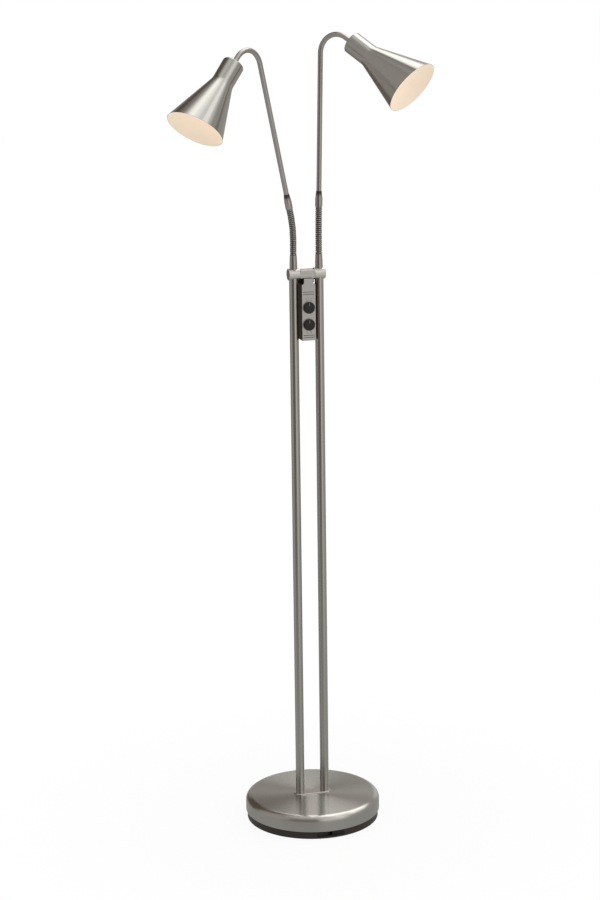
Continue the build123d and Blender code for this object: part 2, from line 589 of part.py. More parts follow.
def neck_base(x):
    """The turned ferrule that plugs into an upright and ends in the first ball."""
    plug_low = UPRIGHT_TOP - NECK_PLUG_LENGTH
    plug = UPRIGHT_BORE - PLUG_CLEARANCE
    half = FERRULE_GROOVE_WIDTH / 2
    wide = NECK_FERRULE_RADIUS
    ferrule = turned([
        (0, plug_low), (plug, plug_low), (plug, UPRIGHT_TOP), (wide, UPRIGHT_TOP),
        (wide, GROOVE_Z - half), (wide - FERRULE_GROOVE_DEPTH, GROOVE_Z - half),
        (wide - FERRULE_GROOVE_DEPTH, GROOVE_Z + half), (wide, GROOVE_Z + half),
        (NECK_FERRULE_TOP_RADIUS, NECK_LOW), (0, NECK_LOW)])
    ball = NECK_LOW + LINK_PITCH / 2
    shoulder = ball - LINK_PITCH + LINK_TOP
    ribs = ribbed(NECK_LOW - RIB_WIDTH, shoulder, ball + FIRST_RIB - RIB_PITCH, 1)
    piece = ferrule + ribs + Pos(0, 0, ball) * Sphere(BALL_RADIUS)
    return Pos(x, 0, 0) * (piece - rod(NECK_BORE_RADIUS, plug_low, ball + LINK_PITCH))


def neck_places(x, lean):
    """The places of the balls' centres up one neck, each turned by its own hinge."""
    place = Pos(x, 0, NECK_LOW - LINK_PITCH / 2)
    places = []
    for hinge in range(HINGES):
        bend = Rot(0, lean["side"][hinge // 2], 0)
        if hinge % 2:
            bend = Rot(lean["fore"][hinge // 2], 0, 0)
        place = place * Pos(0, 0, LINK_PITCH) * bend
        places.append(place)
    return places


def neck_top():
    """The last socket and the tapered ferrule that the arm's tube is fixed in."""
    cylinder_top = NECK_END + TOP_FERRULE_LENGTH
    taper_top = cylinder_top + TOP_FERRULE_TAPER
    ferrule = turned([
        (0, NECK_END), (TOP_FERRULE_RADIUS, NECK_END), (TOP_FERRULE_RADIUS, cylinder_top),
        (TOP_FERRULE_END_RADIUS, taper_top), (0, taper_top)])
    piece = ribbed(-SOCKET_LIP, NECK_END, FIRST_RIB, TOP_RIBS) + ferrule
    seat = rod(ARM_RADIUS + PLUG_CLEARANCE, cylinder_top - ARM_SOCKET_DEPTH, taper_top)
    return piece - seat - socket() - rod(NECK_BORE_RADIUS, -LINK_PITCH, taper_top)


# ---- arms, shades and bulbs, in a frame with its origin at the last ball and +X towards the hook ----
def arm_frame(last_place, azimuth):
    """The arm's own plane: +Z up its tube, +X to the side that its hook turns to."""
    up = Plane(last_place).z_dir
    flat = Vector(cos(radians(azimuth)), sin(radians(azimuth)), 0)
    return Plane(origin=last_place.position, x_dir=flat - up * flat.dot(up), z_dir=up)


def shade_frame():
    """In the arm's frame: the origin at the shade's cap and +Z down the shade's axis."""
    turn = radians(HOOK_TURN)
    along = Vector(sin(turn), 0, cos(turn))
    end = Vector(HOOK_RADIUS * (1 - cos(turn)), 0, HOOK_START + HOOK_RADIUS * sin(turn))
    return Plane(origin=end + along * HOOK_TAIL, x_dir=(cos(turn), 0, -sin(turn)), z_dir=along)


def arm_tube():
    start = NECK_END + TOP_FERRULE_LENGTH - ARM_SOCKET_DEPTH
    corner = HOOK_START + HOOK_RADIUS * tan(radians(HOOK_TURN / 2))
    cap = shade_frame()
    end = cap.origin + cap.z_dir * ARM_INTO_SHADE
    route = FilletPolyline((0, 0, start), (0, 0, corner), end, radius=HOOK_RADIUS)
    foot = Plane(origin=(0, 0, start), z_dir=(0, 0, 1))
    outside = sweep(foot * Circle(ARM_RADIUS), path=route)
    inside = sweep(foot * Circle(ARM_RADIUS - ARM_WALL), path=route)
    return outside - inside


def shade_form(inset):
    """The shade's outside, or with an inset its inside, left longer than the rim."""
    neck = SHADE_NECK_RADIUS - inset
    flare = (SHADE_RIM_RADIUS - SHADE_NECK_RADIUS) / SHADE_CONE_LENGTH
    over = SHADE_RIM_RADIUS * tan(radians(SHADE_RIM_SLANT)) * RIM_OVERCUT
    mouth = SHADE_RIM_RADIUS + flare * over - inset
    edge = SHADE_CAP_EDGE - inset
    side = FilletPolyline(
        (0, inset), (neck, inset), (neck, SHADE_NECK_LENGTH), (mouth, SHADE_LENGTH + over),
        radius=[edge, SHADE_BEND])
    outline = side + Line((mouth, SHADE_LENGTH + over), (0, SHADE_LENGTH + over))
    outline += Line((0, SHADE_LENGTH + over), (0, inset))
    return revolve(Plane.XZ * make_face(outline), axis=Axis.Z)


def shade():
    body = shade_form(0) - shade_form(SHADE_SHEET)
    slant = Pos(0, 0, SHADE_LENGTH) * Rot(0, SHADE_RIM_SLANT, 0)
    body -= slant * Box(HUGE, HUGE, HUGE, align=UP)
    return body - rod(ARM_RADIUS + PLUG_CLEARANCE, -SHADE_SHEET, 2 * SHADE_SHEET)


def shade_collar():
    """The pale ring round the arm's tube that seats on the shade's cap."""
    ring = rod(SHADE_COLLAR_RADIUS, -SHADE_COLLAR_HEIGHT, 0)
    ring = fillet(ring.edges().sort_by(Axis.Z)[0], SHADE_COLLAR_HEIGHT / 4)
    return ring - rod(ARM_RADIUS + PLUG_CLEARANCE, -SHADE_COLLAR_HEIGHT, 0)


def lock_nut():
    nut = hexagon(LOCK_NUT_ACROSS, SHADE_SHEET, HOLDER_LOW)
    return nut - rod(ARM_RADIUS + PLUG_CLEARANCE, SHADE_SHEET, HOLDER_LOW)


def lamp_holder():
    body = rod(HOLDER_RADIUS, HOLDER_LOW, BULB_LOW)
    body = fillet(body.edges().sort_by(Axis.Z)[0], HOLDER_EDGE)
    body -= rod(HOLDER_MOUTH_RADIUS, HOLDER_LOW + HOLDER_FLOOR, BULB_LOW)
    return body - rod(ARM_RADIUS + PLUG_CLEARANCE, HOLDER_LOW, HOLDER_LOW + HOLDER_FLOOR)


def bulb_cap():
    low = BULB_LOW - BULB_CAP_LENGTH
    cap = rod(BULB_CAP_RADIUS, low, BULB_LOW)
    cap = chamfer(cap.edges().sort_by(Axis.Z)[0], BULB_CAP_EDGE)
    cap += rod(BULB_TIP_RADIUS, low - BULB_TIP_LENGTH, low)
    return cap + rod(BULB_NECK_RADIUS, BULB_LOW, BULB_LOW + BULB_SEAT)


def globe_form(inset):
    """The glass's outside, or with an inset its inside."""
    low = BULB_LOW + BULB_SEAT
    centre = BULB_LOW + BULB_LENGTH - BULB_RADIUS
    radius = BULB_RADIUS - inset
    neck = rod(BULB_NECK_RADIUS - inset, low, centre)
    form = neck + Pos(0, 0, centre) * Sphere(radius)
    seam = form.edges().filter_by(GeomType.CIRCLE).sort_by(Axis.Z)[1]
    return fillet(seam, BULB_SHOULDER)


def bulb_glass():
    return globe_form(0) - globe_form(BULB_GLASS)


# ---- the whole lamp ----
def arm_pieces(side, x, lean, azimuth):
    """Every piece above one upright, by node name."""
    places = neck_places(x, lean)
    arm = arm_frame(places[-1], azimuth)
    cap = arm * shade_frame()
    pieces = {f"{side}_neck_base": neck_base(x)}
    for number, place in enumerate(places[:-1], start=1):
        pieces[f"{side}_neck_link_{number}"] = place * neck_link()
    pieces[f"{side}_neck_top"] = arm * neck_top()
    pieces[f"{side}_arm_tube"] = arm * arm_tube()
    pieces[f"{side}_shade"] = cap * shade()
    pieces[f"{side}_shade_collar"] = cap * shade_collar()
    pieces[f"{side}_lock_nut"] = cap * lock_nut()
    pieces[f"{side}_lamp_holder"] = cap * lamp_holder()
    pieces[f"{side}_bulb_cap"] = cap * bulb_cap()
    pieces[f"{side}_bulb_glass"] = cap * bulb_glass()
    return pieces


def all_pieces():
    pieces = {
        "base_cover": base_cover(),
        "base_weight": base_weight(),
        "base_tray": base_tray(),
        "base_pad": base_pad(),
        "tray_screws": tray_screws(),
        "cable_inlet": cable_inlet(),
        "foot_plate": foot_plate(),
        "left_upright": upright(-UPRIGHT_X),
        "right_upright": upright(UPRIGHT_X),
        "upright_studs": upright_studs(),
        "upright_washers": upright_washers(),
        "upright_nuts": upright_nuts(),
        "upright_wires": upright_wires(),
        "left_collar": collar(-UPRIGHT_X),
        "right_collar": collar(UPRIGHT_X),
        "collar_screws": collar_screws(),
        "bracket_bar": bracket_bar(),
        "lip_screw": lip_screw(),
        "front_plate": front_plate(),
        "housing_shell": housing_shell(),
        "housing_screws": housing_screws(),
        "circuit_board": circuit_board(),
    }
    for name, drop in KNOB_DROPS.items():
        pieces[f"{name}_dimmer"] = dimmer(drop)
        pieces[f"{name}_spindle"] = spindle(drop)
        pieces[f"{name}_knob"] = knob(drop)
    pieces.update(arm_pieces("left", -UPRIGHT_X, LEFT_LEAN, LEFT_HOOK_AZIMUTH))
    pieces.update(arm_pieces("right", UPRIGHT_X, RIGHT_LEAN, RIGHT_HOOK_AZIMUTH))
    return pieces


for node, solid in all_pieces().items():
    export_step(solid, f"parts/{node}.step")
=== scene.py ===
"""The looks of the twin-head reading floor lamp: its finishes, its fine shapes, the studio and the camera.

Metres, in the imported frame: the origin is under the middle of the base, +Z is up and the front faces -Y.
Millimetres in the text below are turned into metres by MM.
"""

import json
from math import acos, asin, ceil, cos, pi, radians, sin, tan

import bpy
from mathutils import Matrix, Vector


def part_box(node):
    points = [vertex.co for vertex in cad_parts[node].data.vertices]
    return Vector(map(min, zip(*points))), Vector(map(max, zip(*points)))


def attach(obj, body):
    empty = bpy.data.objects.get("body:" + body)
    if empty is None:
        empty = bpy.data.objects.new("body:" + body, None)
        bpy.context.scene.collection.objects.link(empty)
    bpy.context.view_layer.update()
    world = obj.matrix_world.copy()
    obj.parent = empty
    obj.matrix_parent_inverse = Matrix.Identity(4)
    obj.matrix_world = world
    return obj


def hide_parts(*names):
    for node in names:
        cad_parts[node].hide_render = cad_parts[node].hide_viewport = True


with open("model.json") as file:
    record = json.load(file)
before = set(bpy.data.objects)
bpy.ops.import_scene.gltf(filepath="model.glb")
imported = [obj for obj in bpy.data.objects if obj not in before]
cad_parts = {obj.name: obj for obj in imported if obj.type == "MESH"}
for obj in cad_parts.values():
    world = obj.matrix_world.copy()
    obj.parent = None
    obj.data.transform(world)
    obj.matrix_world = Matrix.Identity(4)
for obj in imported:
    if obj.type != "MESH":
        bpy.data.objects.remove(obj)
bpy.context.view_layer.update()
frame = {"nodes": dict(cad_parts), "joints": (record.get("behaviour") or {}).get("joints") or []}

MM = 0.001
SIDES = ("left", "right")
SHARP_ANGLE = radians(32)         # edges that turn more than this stay crisp
ARC_STEP = radians(9)             # largest turn between two points of a rounded corner
ON_AXIS = 1e-7                    # a point nearer to the axis than this lies on it

# how many flat sides a round piece is drawn with
COVER_FACETS = 192
UPRIGHT_FACETS = 64
NECK_FACETS = 48
TUBE_FACETS = 40
SHADE_FACETS = 160
BALL_STEPS = 8                    # along the outline of a ball or socket

# ---- the lamp's own sizes that the frame doesn't give ----
COVER_SHEET = 1.2 * MM
COVER_EDGE = 11.5 * MM            # rounded shoulder of the base cover
COVER_HEM = 0.4 * MM              # rounding of its lower edge
UPRIGHT_WALL = 1.5 * MM
UPRIGHT_EDGE = 0.3 * MM
GROOVE_LENGTH = 20.4 * MM         # of the grooves across the dimmer's plate
GROOVE_MARGIN = 0.1 * MM          # the painted shade reaches past their ends
GROOVE_DEPTH = 0.35 * MM          # depth at which the painted shade in the grooves is darkest
PLATE_FOOT = 3.0 * MM             # the plate's lower end, kept free of the painted groove shade
POINTER_FACE = 0.4 * MM           # how far back from a pointer's top the painted highlight goes
POINTER_BLEND = 0.1 * MM
DASH_HALF_WIDTH = 0.22 * MM       # a printed dash
DASH_THICKNESS = 0.06 * MM
DASH_STEPS = 6
FERRULE_RADIUS = 6.85 * MM        # turned foot of a flexible neck
FERRULE_TOP_RADIUS = 6.1 * MM
FERRULE_GROOVE = 10.3 * MM        # height of its thin groove above the clamp
FERRULE_LENGTH = 27.0 * MM
PLUG_RADIUS = 6.45 * MM           # the part of it inside the upright
PLUG_LENGTH = 24.0 * MM
PLUG_EDGE = 0.5 * MM
GROOVE_CUT = 0.7 * MM             # how deep the foot's groove goes
GROOVE_MOUTH = 0.6 * MM           # half its width at the surface
GROOVE_FLOOR = 0.5 * MM           # half its width at the bottom
FERRULE_EDGE = 0.3 * MM
NECK_BORE = 2.0 * MM
BALL_RADIUS = 4.2 * MM
SOCKET_RADIUS = 4.25 * MM
SOCKET_LIP = 0.6 * MM             # how far a socket reaches below its ball's middle
LINK_PITCH = 10.5 * MM
RIBS_PER_LINK = 3
RIB_GAP = 1.225 * MM              # groove between two ribs, and between two links
RIB_RADIUS = 5.95 * MM
RIB_ROOT = 5.25 * MM
RIB_PITCH = LINK_PITCH / RIBS_PER_LINK
RIB_WIDTH = RIB_PITCH - RIB_GAP
LINK_SHOULDER = LINK_PITCH - SOCKET_LIP - RIB_GAP    # above a link's lower ball, where its upper ball starts
# a rib from its lower to its upper edge: share of its width, and how far down into the groove
RIB_OUTLINE = ((0.0, 1.0), (0.04, 0.45), (0.18, 0.1), (0.5, 0.0), (0.82, 0.1), (0.96, 0.45), (1.0, 1.0))
HEAD_RIBS = 2
HEAD_RADIUS = 6.5 * MM            # ferrule at the top of a neck
HEAD_LENGTH = 14.5 * MM
HEAD_TAPER = 14.0 * MM
HEAD_END_RADIUS = 4.8 * MM
HEAD_EDGE = 0.4 * MM
ARM_SEAT = 8.0 * MM               # how deep the seat for the arm's tube goes below the taper
HOOK_RADIUS = 34.9 * MM
ARM_RADIUS = 4.5 * MM
ARM_HIDDEN = 6.0 * MM             # tube inside the neck's ferrule, and inside the shade
ARM_SEAT_PLAY = 0.05 * MM         # between the tube and the ferrule that it sits in
ARM_HOLE_PLAY = 0.1 * MM          # between the tube and the shade's hole
STRAIGHT_STEPS = 24               # points along the tube's straight run, its hook and its end in the shade
HOOK_STEPS = 40
END_STEPS = 4
SHADE_NECK_RADIUS = 19.2 * MM
SHADE_NECK_LENGTH = 42.7 * MM
SHADE_RIM_RADIUS = 50.5 * MM
SHADE_LENGTH = 141.6 * MM
SHADE_BEND = 22.0 * MM            # radius between the shade's neck and its cone
SHADE_SLOPE = (SHADE_RIM_RADIUS - SHADE_NECK_RADIUS) / (SHADE_LENGTH - SHADE_NECK_LENGTH)
SHADE_CAP_EDGE = 2.6 * MM
SHADE_INNER_EDGE = 0.6 * MM       # the least rounding inside the cap
CONE_STEPS = 10
SHADE_METAL = 0.5 * MM            # sheet under the enamel
SHADE_ENAMEL = 0.3 * MM
RIM_SLANT = radians(5.5)          # of the rim's plane, towards the arm

# ---- the studio ----
CAMERA_PLACE = (-1.08417, -3.82088, 1.63542)
CAMERA_YAW = radians(15.622)
CAMERA_PITCH = radians(13.196)
CAMERA_ROLL = radians(0.738)
CAMERA_LENS = 90.0
CAMERA_SENSOR = 36.0              # its long side, in millimetres
PAPER_REACH = 12.0                # half the paper's side
PAPER_GLOW = 0.40                 # how bright the paper looks in the metal
PAPER_FADE = 1.3                  # where it has half faded into the room
PAPER_SHADOW = 0.06               # how much of the shadow under the lamp the camera sees
SHADOW_START = 0.15               # from here it fades
SHADOW_FADE = 0.5                 # over this distance
PANEL_TOP = 1.6                   # above 1, so that a panel is even over its middle


# ---- shader maths ----
class Value:
    """One output of a shader node. Sums, products and powers of it are Math nodes."""

    def __init__(self, sheet, socket):
        self.sheet = sheet
        self.socket = socket

    def maths(self, operation, *operands):
        """A Math node of these operands, on the same sheet."""
        return self.sheet.node("ShaderNodeMath", {"operation": operation}, dict(enumerate(operands)))[0]

    def __add__(self, other):
        return self.maths("ADD", self, other)

    __radd__ = __add__

    def __sub__(self, other):
        return self.maths("SUBTRACT", self, other)

    def __rsub__(self, other):
        return self.maths("SUBTRACT", other, self)

    def __mul__(self, other):
        return self.maths("MULTIPLY", self, other)

    __rmul__ = __mul__

    def __truediv__(self, other):
        return self.maths("DIVIDE", self, other)

    def __rtruediv__(self, other):
        return self.maths("DIVIDE", other, self)

    def __pow__(self, other):
        return self.maths("POWER", self, other)

    def clamped(self):
        """Held between 0 and 1."""
        above = self.maths("MAXIMUM", self, 0.0)
        return above.maths("MINIMUM", above, 1.0)


class Sheet:
    """A node tree being drawn up, and the one way that nodes are added to it."""

    def __init__(self, tree):
        self.tree = tree
        tree.nodes.clear()

    def node(self, kind, settings=None, sockets=None):
        """A node of one kind: its settings, then the values or links of its sockets. Gives its outputs."""
        made = self.tree.nodes.new(kind)
        for key, value in (settings or {}).items():
            setattr(made, key, value)
        for key, value in (sockets or {}).items():
            if isinstance(value, Value):
                self.tree.links.new(value.socket, made.inputs[key])
            else:
                made.inputs[key].default_value = value
        return [Value(self, socket) for socket in made.outputs]

    def mix(self, factor, one, other):
        """One colour turning into another as the factor rises, by the Mix node's colour sockets."""
        return self.node("ShaderNodeMix", {"data_type": "RGBA"}, {0: factor, 6: one, 7: other})[2]

    def between(self, value, low, high):
        """A 0 to 1 value spread from low to high."""
        return value * (high - low) + low

    def join(self, x, y, z):
        return self.node("ShaderNodeCombineXYZ", {}, {0: x, 1: y, 2: z})[0]

    def split(self, vector):
        return self.node("ShaderNodeSeparateXYZ", {}, {0: vector})

    def place(self):
        """The point in the piece's own frame, in metres: the node's Object output."""
        return self.node("ShaderNodeTexCoord")[3]

    def camera_ray(self):
        """1 for the camera's own rays, 0 for all others."""
        return self.node("ShaderNodeLightPath")[0]

    def noise(self, vector, scale=1.0, detail=3.0, roughness=0.55):
        sockets = {"Vector": vector, "Scale": scale, "Detail": detail, "Roughness": roughness}
        return self.node("ShaderNodeTexNoise", {}, sockets)[0]

    def stretched(self, x, y, z, detail=3.0):
        """Noise whose grain is drawn out: so many grains per metre along X, Y and Z."""
        px, py, pz = self.split(self.place())
        return self.noise(self.join(px * x, py * y, pz * z), detail=detail)

    def turned(self, rings, wander=3.0, detail=4.0):
        """Noise in rings round the piece's own Z axis, so many rings per metre, as turning leaves them."""
        x, y, z = self.split(self.place())
        radius = (x * x + y * y) ** 0.5
        grain = self.join(x / radius * wander, y / radius * wander, (radius - z) * rings)
        return self.noise(grain, detail=detail)

    def window(self, value, middle, reach):
        """1 over the middle, falling to 0 at the reach on both sides."""
        off = (value - middle) / reach
        return ((1 - off * off) * PANEL_TOP).clamped()

    def bump(self, height, depth):
        return self.node("ShaderNodeBump", {}, {"Strength": 1.0, "Distance": depth, "Height": height})[0]


def finish(name, draw, **constants):
    """A material: draw gives the varying sockets, and constants are set on the shader itself."""
    material = bpy.data.materials.new(name)
    material.use_nodes = True
    sheet = Sheet(material.node_tree)
    shader = sheet.node("ShaderNodeBsdfPrincipled", {}, {**constants, **draw(sheet)})[0]
    sheet.node("ShaderNodeOutputMaterial", {}, {"Surface": shader})
    return material


def opaque(colour):
    return (*colour, 1.0)


# ---- finishes ----
NICKEL_DARK = opaque((0.51, 0.50, 0.475))
NICKEL_LIGHT = opaque((0.575, 0.565, 0.54))
ALONG_AXIS = 0.25                 # a quarter turn: gloss is drawn out across the turning marks
TURNING_DEPTH = 0.000001          # of the turning marks, in metres
TURNING_DRIFT = 14                # how many times coarser the drifts of tone are than the fine rings
METAL_DRIFT = 15                  # and than the grain, on plain metal
METAL_SPREAD = 0.08               # of its roughness, each way
PLASTIC_GRAIN = 1600.0            # grains per metre
PLASTIC_DEPTH = 0.00004
PLASTIC_DRIFT = 30
PLASTIC_SPREAD = 0.07


def spun_nickel(name, rings, roughness, stretch):
    """Brushed nickel on a turned piece: fine rings, drifting tone, gloss drawn out across the rings."""
    def draw(sheet):
        fine = sheet.turned(rings)
        broad = sheet.turned(rings / TURNING_DRIFT, wander=1.2, detail=2.0)
        tone = fine * 0.55 + broad * 0.45
        return {
            "Base Color": sheet.mix(tone, NICKEL_DARK, NICKEL_LIGHT),
            "Roughness": sheet.between(tone, roughness - 0.02, roughness + 0.03),
            "Normal": sheet.bump(fine, TURNING_DEPTH),
        }
    constants = {"Metallic": 1.0, "Anisotropic": stretch, "Anisotropic Rotation": ALONG_AXIS}
    return finish(name, draw, **constants)


def grooved_plate():
    """The dimmer's front plate: metal brushed across, with painted shade in its grooves."""
    low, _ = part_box("front_plate")
    reach = GROOVE_LENGTH / 2 + GROOVE_MARGIN

    def draw(sheet):
        x, y, z = sheet.split(sheet.place())
        fine = sheet.stretched(60.0, 60.0, 5000.0)
        broad = sheet.stretched(5.0, 5.0, 400.0, detail=2.0)
        tone = fine * 0.6 + broad * 0.4
        unshaded = sheet.mix(tone, opaque((0.55, 0.54, 0.525)), opaque((0.64, 0.63, 0.615)))
        deep = ((y - low.y) / GROOVE_DEPTH).clamped()
        across = x.maths("LESS_THAN", x.maths("ABSOLUTE", x), reach)
        inside = across * z.maths("GREATER_THAN", z, low.z + PLATE_FOOT)
        return {
            # painted shade: whatever lies behind the plate's face turns near black, so the grooves read as
            # dark lines
            "Base Color": sheet.mix(deep * inside, unshaded, opaque((0.10, 0.095, 0.09))),
            "Roughness": sheet.between(fine, 0.34, 0.46),
            "Normal": sheet.bump(fine, 0.000005),
        }
    return finish("plate_aluminium", draw, Metallic=1.0)


def plain_metal(name, dark, light, roughness, grain=900.0, depth=0.00002):
    """Metal without turning marks: a fine even grain with slow drifts of tone."""
    def draw(sheet):
        fine = sheet.noise(sheet.place(), grain, 4.0)
        broad = sheet.noise(sheet.place(), grain / METAL_DRIFT, 2.0)
        return {
            "Base Color": sheet.mix(broad, opaque(dark), opaque(light)),
            "Roughness": sheet.between(fine, roughness - METAL_SPREAD, roughness + METAL_SPREAD),
            "Normal": sheet.bump(fine, depth),
        }
    return finish(name, draw, Metallic=1.0)


def moulded(name, dark, light, roughness):
    """Moulded plastic with a fine spark-eroded grain."""
    def draw(sheet):
        fine = sheet.noise(sheet.place(), PLASTIC_GRAIN, 3.0)
        broad = sheet.noise(sheet.place(), PLASTIC_GRAIN / PLASTIC_DRIFT, 2.0)
        return {
            "Base Color": sheet.mix(broad, opaque(dark), opaque(light)),
            "Roughness": sheet.between(fine, roughness - PLASTIC_SPREAD, roughness + PLASTIC_SPREAD),
            "Normal": sheet.bump(fine, PLASTIC_DEPTH),
        }
    return finish(name, draw)


def knob_plastic():
    """Glossy dark knobs, with a painted highlight on the raised pointer's top."""
    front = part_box("upper_knob")[0].y

    def draw(sheet):
        _, y, _ = sheet.split(sheet.place())
        raised = ((front + POINTER_FACE - y) / POINTER_BLEND).clamped()
        fine = sheet.noise(sheet.place(), PLASTIC_GRAIN, 3.0)
        dark = sheet.mix(fine, opaque((0.005, 0.004, 0.003)), opaque((0.008, 0.007, 0.005)))
        return {
            # painted highlight: the pointer's top is pale grey, standing in for the glint it catches
            "Base Color": sheet.mix(raised, dark, opaque((0.34, 0.33, 0.31))),
            "Roughness": sheet.between(fine, 0.10, 0.20),
            "Normal": sheet.bump(fine, 0.00001),
        }
    return finish("knob_plastic", draw)


def ribbed_nickel():
    """The flexible necks: satin nickel, with painted shade in the grooves between the ribs: darker the nearer
    the surface is to the neck's axis.
    """
    def draw(sheet):
        x, y, _ = sheet.split(sheet.place())
        across = (x * x + y * y) ** 0.5
        raised = ((across - RIB_ROOT) / (RIB_RADIUS - RIB_ROOT)).clamped()
        fine = sheet.noise(sheet.place(), 1400.0, 3.0)
        unshaded = sheet.mix(fine, opaque((0.48, 0.455, 0.43)), opaque((0.56, 0.535, 0.51)))
        return {
            # painted shade: the grooves between the ribs turn near black
            "Base Color": sheet.mix(raised, opaque((0.10, 0.085, 0.075)), unshaded),
            "Roughness": sheet.between(raised, 0.45, 0.24),
            "Normal": sheet.bump(fine, 0.000002),
        }
    return finish("neck_nickel", draw, Metallic=1.0)


def felt():
    """Short grey fibres pressed flat."""
    def draw(sheet):
        fibres = sheet.noise(sheet.place(), 2400.0, 6.0, 0.75)
        clumps = sheet.noise(sheet.place(), 180.0, 3.0)
        tone = fibres * 0.7 + clumps * 0.3
        return {
            "Base Color": sheet.mix(tone, opaque((0.03, 0.03, 0.03)), opaque((0.11, 0.105, 0.10))),
            "Normal": sheet.bump(fibres, 0.0004),
        }
    return finish("pad_felt", draw, Roughness=0.95)


def enamel():
    """White stove enamel inside the shades: a faint orange-peel ripple, and a painted warm glow of its own
    that stands in for the bulb's light.
    """
    def draw(sheet):
        peel = sheet.noise(sheet.place(), 420.0, 2.0)
        drift = sheet.noise(sheet.place(), 22.0, 2.0)
        return {
            "Base Color": sheet.mix(drift, opaque((0.56, 0.53, 0.49)), opaque((0.62, 0.59, 0.55))),
            "Roughness": sheet.between(peel, 0.38, 0.50),
            # painted light: the enamel itself glows warm, in place of light from the bulb
            "Emission Color": sheet.mix(drift, opaque((1.0, 0.80, 0.60)), opaque((1.0, 0.83, 0.65))),
            "Normal": sheet.bump(peel, 0.00004),
        }
    return finish("white_enamel", draw, **{"Emission Strength": 0.45})


def frosted_bulb():
    """A lit opal bulb: a warm glow with a faint cloudiness."""
    def draw(sheet):
        glow = sheet.noise(sheet.place(), 60.0, 2.0)
        return {
            "Base Color": sheet.mix(glow, opaque((0.80, 0.77, 0.72)), opaque((0.86, 0.84, 0.80))),
            "Emission Color": sheet.mix(glow, opaque((1.0, 0.84, 0.64)), opaque((1.0, 0.88, 0.70))),
        }
    return finish("lit_opal_glass", draw, **{"Emission Strength": 0.62, "Roughness": 0.35})


FINISHES = {
    "base_steel": spun_nickel("spun_base_nickel", 6500.0, 0.20, stretch=1.0),
    "upright_nickel": spun_nickel("upright_nickel", 3600.0, 0.22, stretch=0.6),
    "tube_nickel": plain_metal("tube_nickel", (0.52, 0.50, 0.475), (0.57, 0.55, 0.525), 0.31, depth=0.000001),
    "shade_nickel": spun_nickel("shade_nickel", 5200.0, 0.21, stretch=0.9),
    "neck_nickel": ribbed_nickel(),
    # painted light: the collars are the bracket's nickel made lighter, so they look as brightly lit as they
    # should
    "collar_lit_nickel": plain_metal("collar_lit_nickel", (0.69, 0.67, 0.645), (0.77, 0.75, 0.725), 0.31),
    "bracket_nickel": plain_metal("bracket_nickel", (0.60, 0.575, 0.55), (0.68, 0.655, 0.63), 0.38),
    "plate_aluminium": grooved_plate(),
    "foot_nickel": plain_metal("foot_nickel", (0.62, 0.60, 0.58), (0.70, 0.68, 0.66), 0.22),
    "zinc": plain_metal("zinc_plate", (0.46, 0.47, 0.48), (0.62, 0.62, 0.62), 0.36),
    "cast_iron": plain_metal("cast_iron", (0.05, 0.05, 0.052), (0.11, 0.105, 0.10), 0.62, 500.0, 0.0002),
    "brass": plain_metal("cap_brass", (0.60, 0.48, 0.25), (0.74, 0.62, 0.36), 0.30),
    "ring_plastic": moulded("ring_plastic", (0.034, 0.024, 0.018), (0.050, 0.037, 0.029), 0.42),
    "inlet_plastic": moulded("inlet_plastic", (0.008, 0.007, 0.007), (0.014, 0.012, 0.011), 0.36),
    "housing_plastic": moulded("housing_plastic", (0.085, 0.056, 0.036), (0.110, 0.075, 0.050), 0.46),
    "knob_plastic": knob_plastic(),
    "holder_plastic": moulded("holder_plastic", (0.80, 0.77, 0.72), (0.88, 0.85, 0.80), 0.40),
    "collar_plastic": moulded("collar_plastic", (0.72, 0.69, 0.66), (0.80, 0.78, 0.75), 0.35),
    "dimmer_plastic": moulded("dimmer_plastic", (0.03, 0.045, 0.09), (0.05, 0.07, 0.13), 0.45),
    "laminate": moulded("board_laminate", (0.05, 0.10, 0.04), (0.08, 0.15, 0.06), 0.50),
    "wire_sheath": moulded("wire_sheath", (0.02, 0.02, 0.02), (0.04, 0.04, 0.04), 0.50),
    "mark_ink": moulded("mark_ink", (0.05, 0.045, 0.04), (0.08, 0.072, 0.065), 0.55),
    "felt": felt(),
    "enamel": enamel(),
    "lit_glass": frosted_bulb(),
}

# By node, and for the nodes that both arms have, by the name after the side. Those that fine shapes replace
# below are named too.
NODE_FINISHES = {
    "base_cover": "base_steel",
    "base_weight": "cast_iron",
    "base_tray": "ring_plastic",
    "base_pad": "felt",
    "tray_screws": "zinc",
    "cable_inlet": "inlet_plastic",
    "foot_plate": "foot_nickel",
    "left_upright": "upright_nickel",
    "right_upright": "upright_nickel",
    "upright_studs": "zinc",
    "upright_washers": "zinc",
    "upright_nuts": "zinc",
    "upright_wires": "wire_sheath",
    "left_collar": "collar_lit_nickel",
    "right_collar": "collar_lit_nickel",
    "collar_screws": "zinc",
    "bracket_bar": "bracket_nickel",
    "lip_screw": "zinc",
    "front_plate": "plate_aluminium",
    "housing_shell": "housing_plastic",
    "housing_screws": "zinc",
    "circuit_board": "laminate",
    "upper_dimmer": "dimmer_plastic",
    "lower_dimmer": "dimmer_plastic",
    "upper_spindle": "zinc",
    "lower_spindle": "zinc",
    "upper_knob": "knob_plastic",
    "lower_knob": "knob_plastic",
}
ARM_NODE_FINISHES = {
    "neck_base": "neck_nickel",
    "neck_top": "neck_nickel",
    "arm_tube": "tube_nickel",
    "shade": "shade_nickel",
    "shade_collar": "collar_plastic",
    "lock_nut": "zinc",
    "lamp_holder": "holder_plastic",
    "bulb_cap": "brass",
    "bulb_glass": "lit_glass",
}


def dress_frame():
    """Gives every CAD node its finish."""
    for node, part in frame["nodes"].items():
        rest = node.partition("_")[2]
        key = NODE_FINISHES.get(node)
        if key is None:
            key = "neck_nickel" if rest.startswith("neck_link") else ARM_NODE_FINISHES[rest]
        part.data.materials.clear()
        part.data.materials.append(FINISHES[key])


